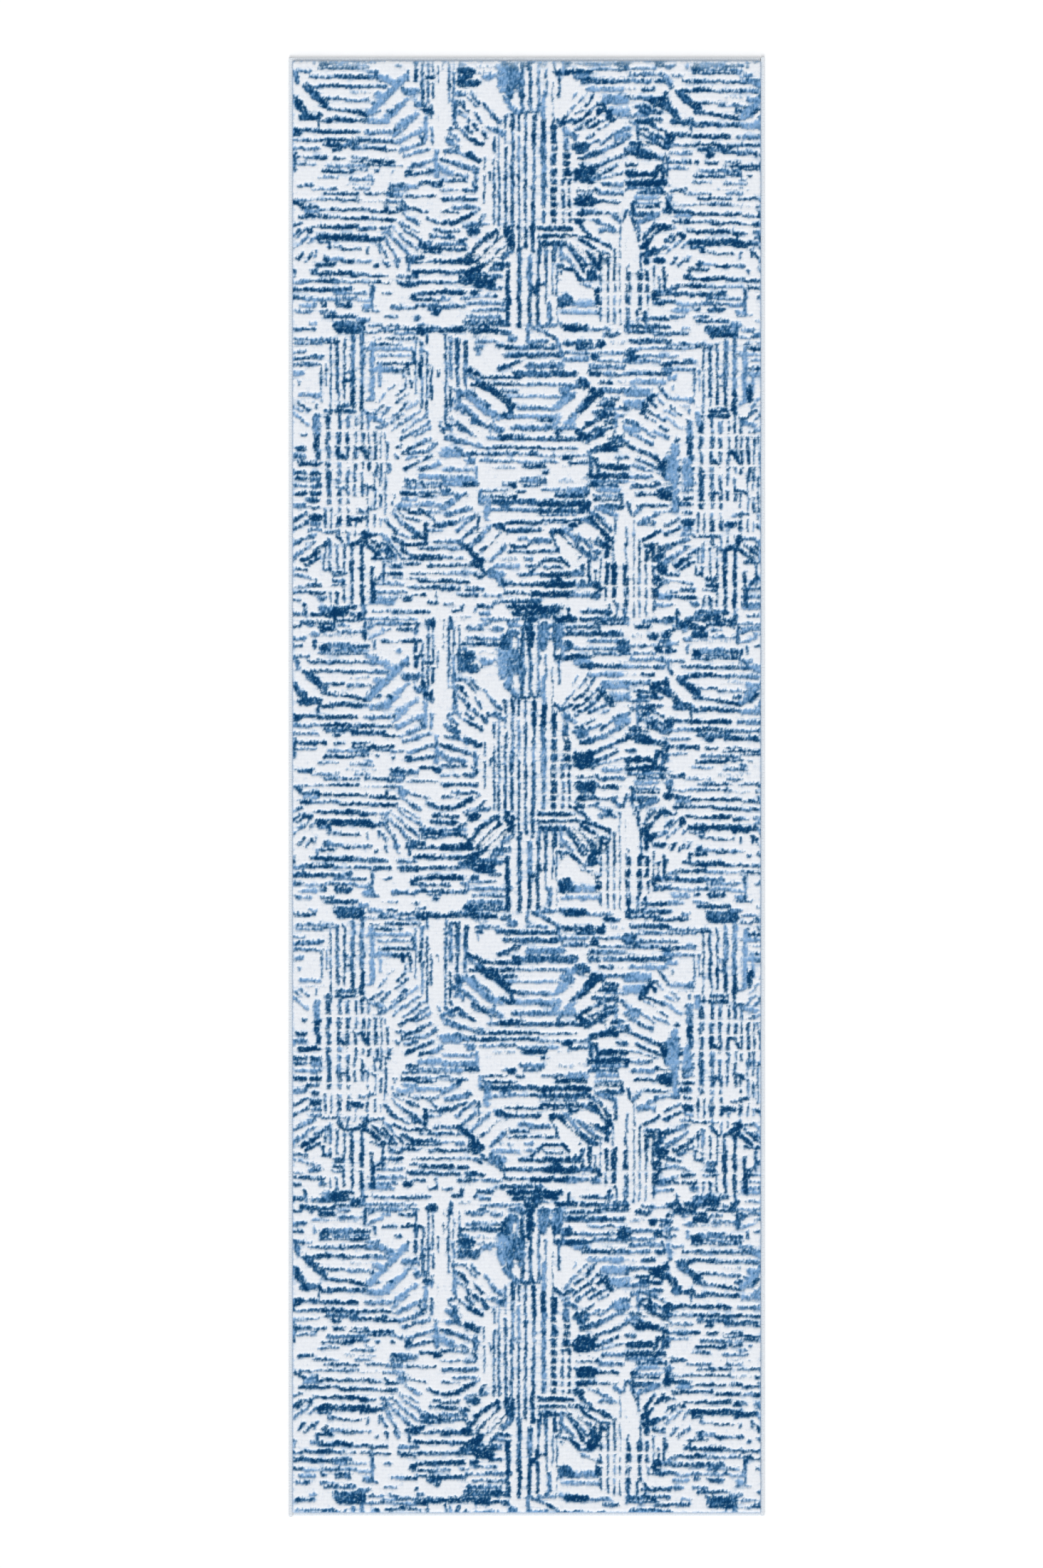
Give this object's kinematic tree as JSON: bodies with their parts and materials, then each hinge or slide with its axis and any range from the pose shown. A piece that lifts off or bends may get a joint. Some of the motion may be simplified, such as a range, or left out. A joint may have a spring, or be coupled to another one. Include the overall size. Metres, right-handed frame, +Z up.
{
  "type": "runner rug",
  "caption": "Long narrow woven rug with a raised white stroke figure on a low two-tone blue pile, a latex back and four serged edges.",
  "frame": {"origin": "middle of the underside, on the floor", "axes": "+Z up out of the pile, +Y along the length towards the head end, +X across the width"},
  "size_m": [0.79, 2.42, 0.011],
  "materials": {
    "white_yarn": "matt heat-set yarn, cut pile",
    "sky_yarn": "matt heat-set yarn, cut pile",
    "navy_yarn": "matt heat-set yarn, cut pile",
    "serging_yarn": "wrapped overlock yarn",
    "ground_yarn": "spun jute and cotton ground weave",
    "cord": "twisted cord",
    "latex": "thin matt latex coat"
  },
  "bodies": {
    "root": {"latex_backing": "latex", "lower_weft": "ground_yarn", "stuffer_warps": "ground_yarn", "upper_weft": "ground_yarn", "sky_blue_pile": "sky_yarn", "navy_pile": "navy_yarn", "white_pile": "white_yarn", "serging_left": "serging_yarn", "serging_right": "serging_yarn", "serging_head": "serging_yarn", "serging_foot": "serging_yarn", "edge_cord_left": "cord", "edge_cord_right": "cord", "edge_cord_head": "cord", "edge_cord_foot": "cord"}
  },
  "joints": []
}
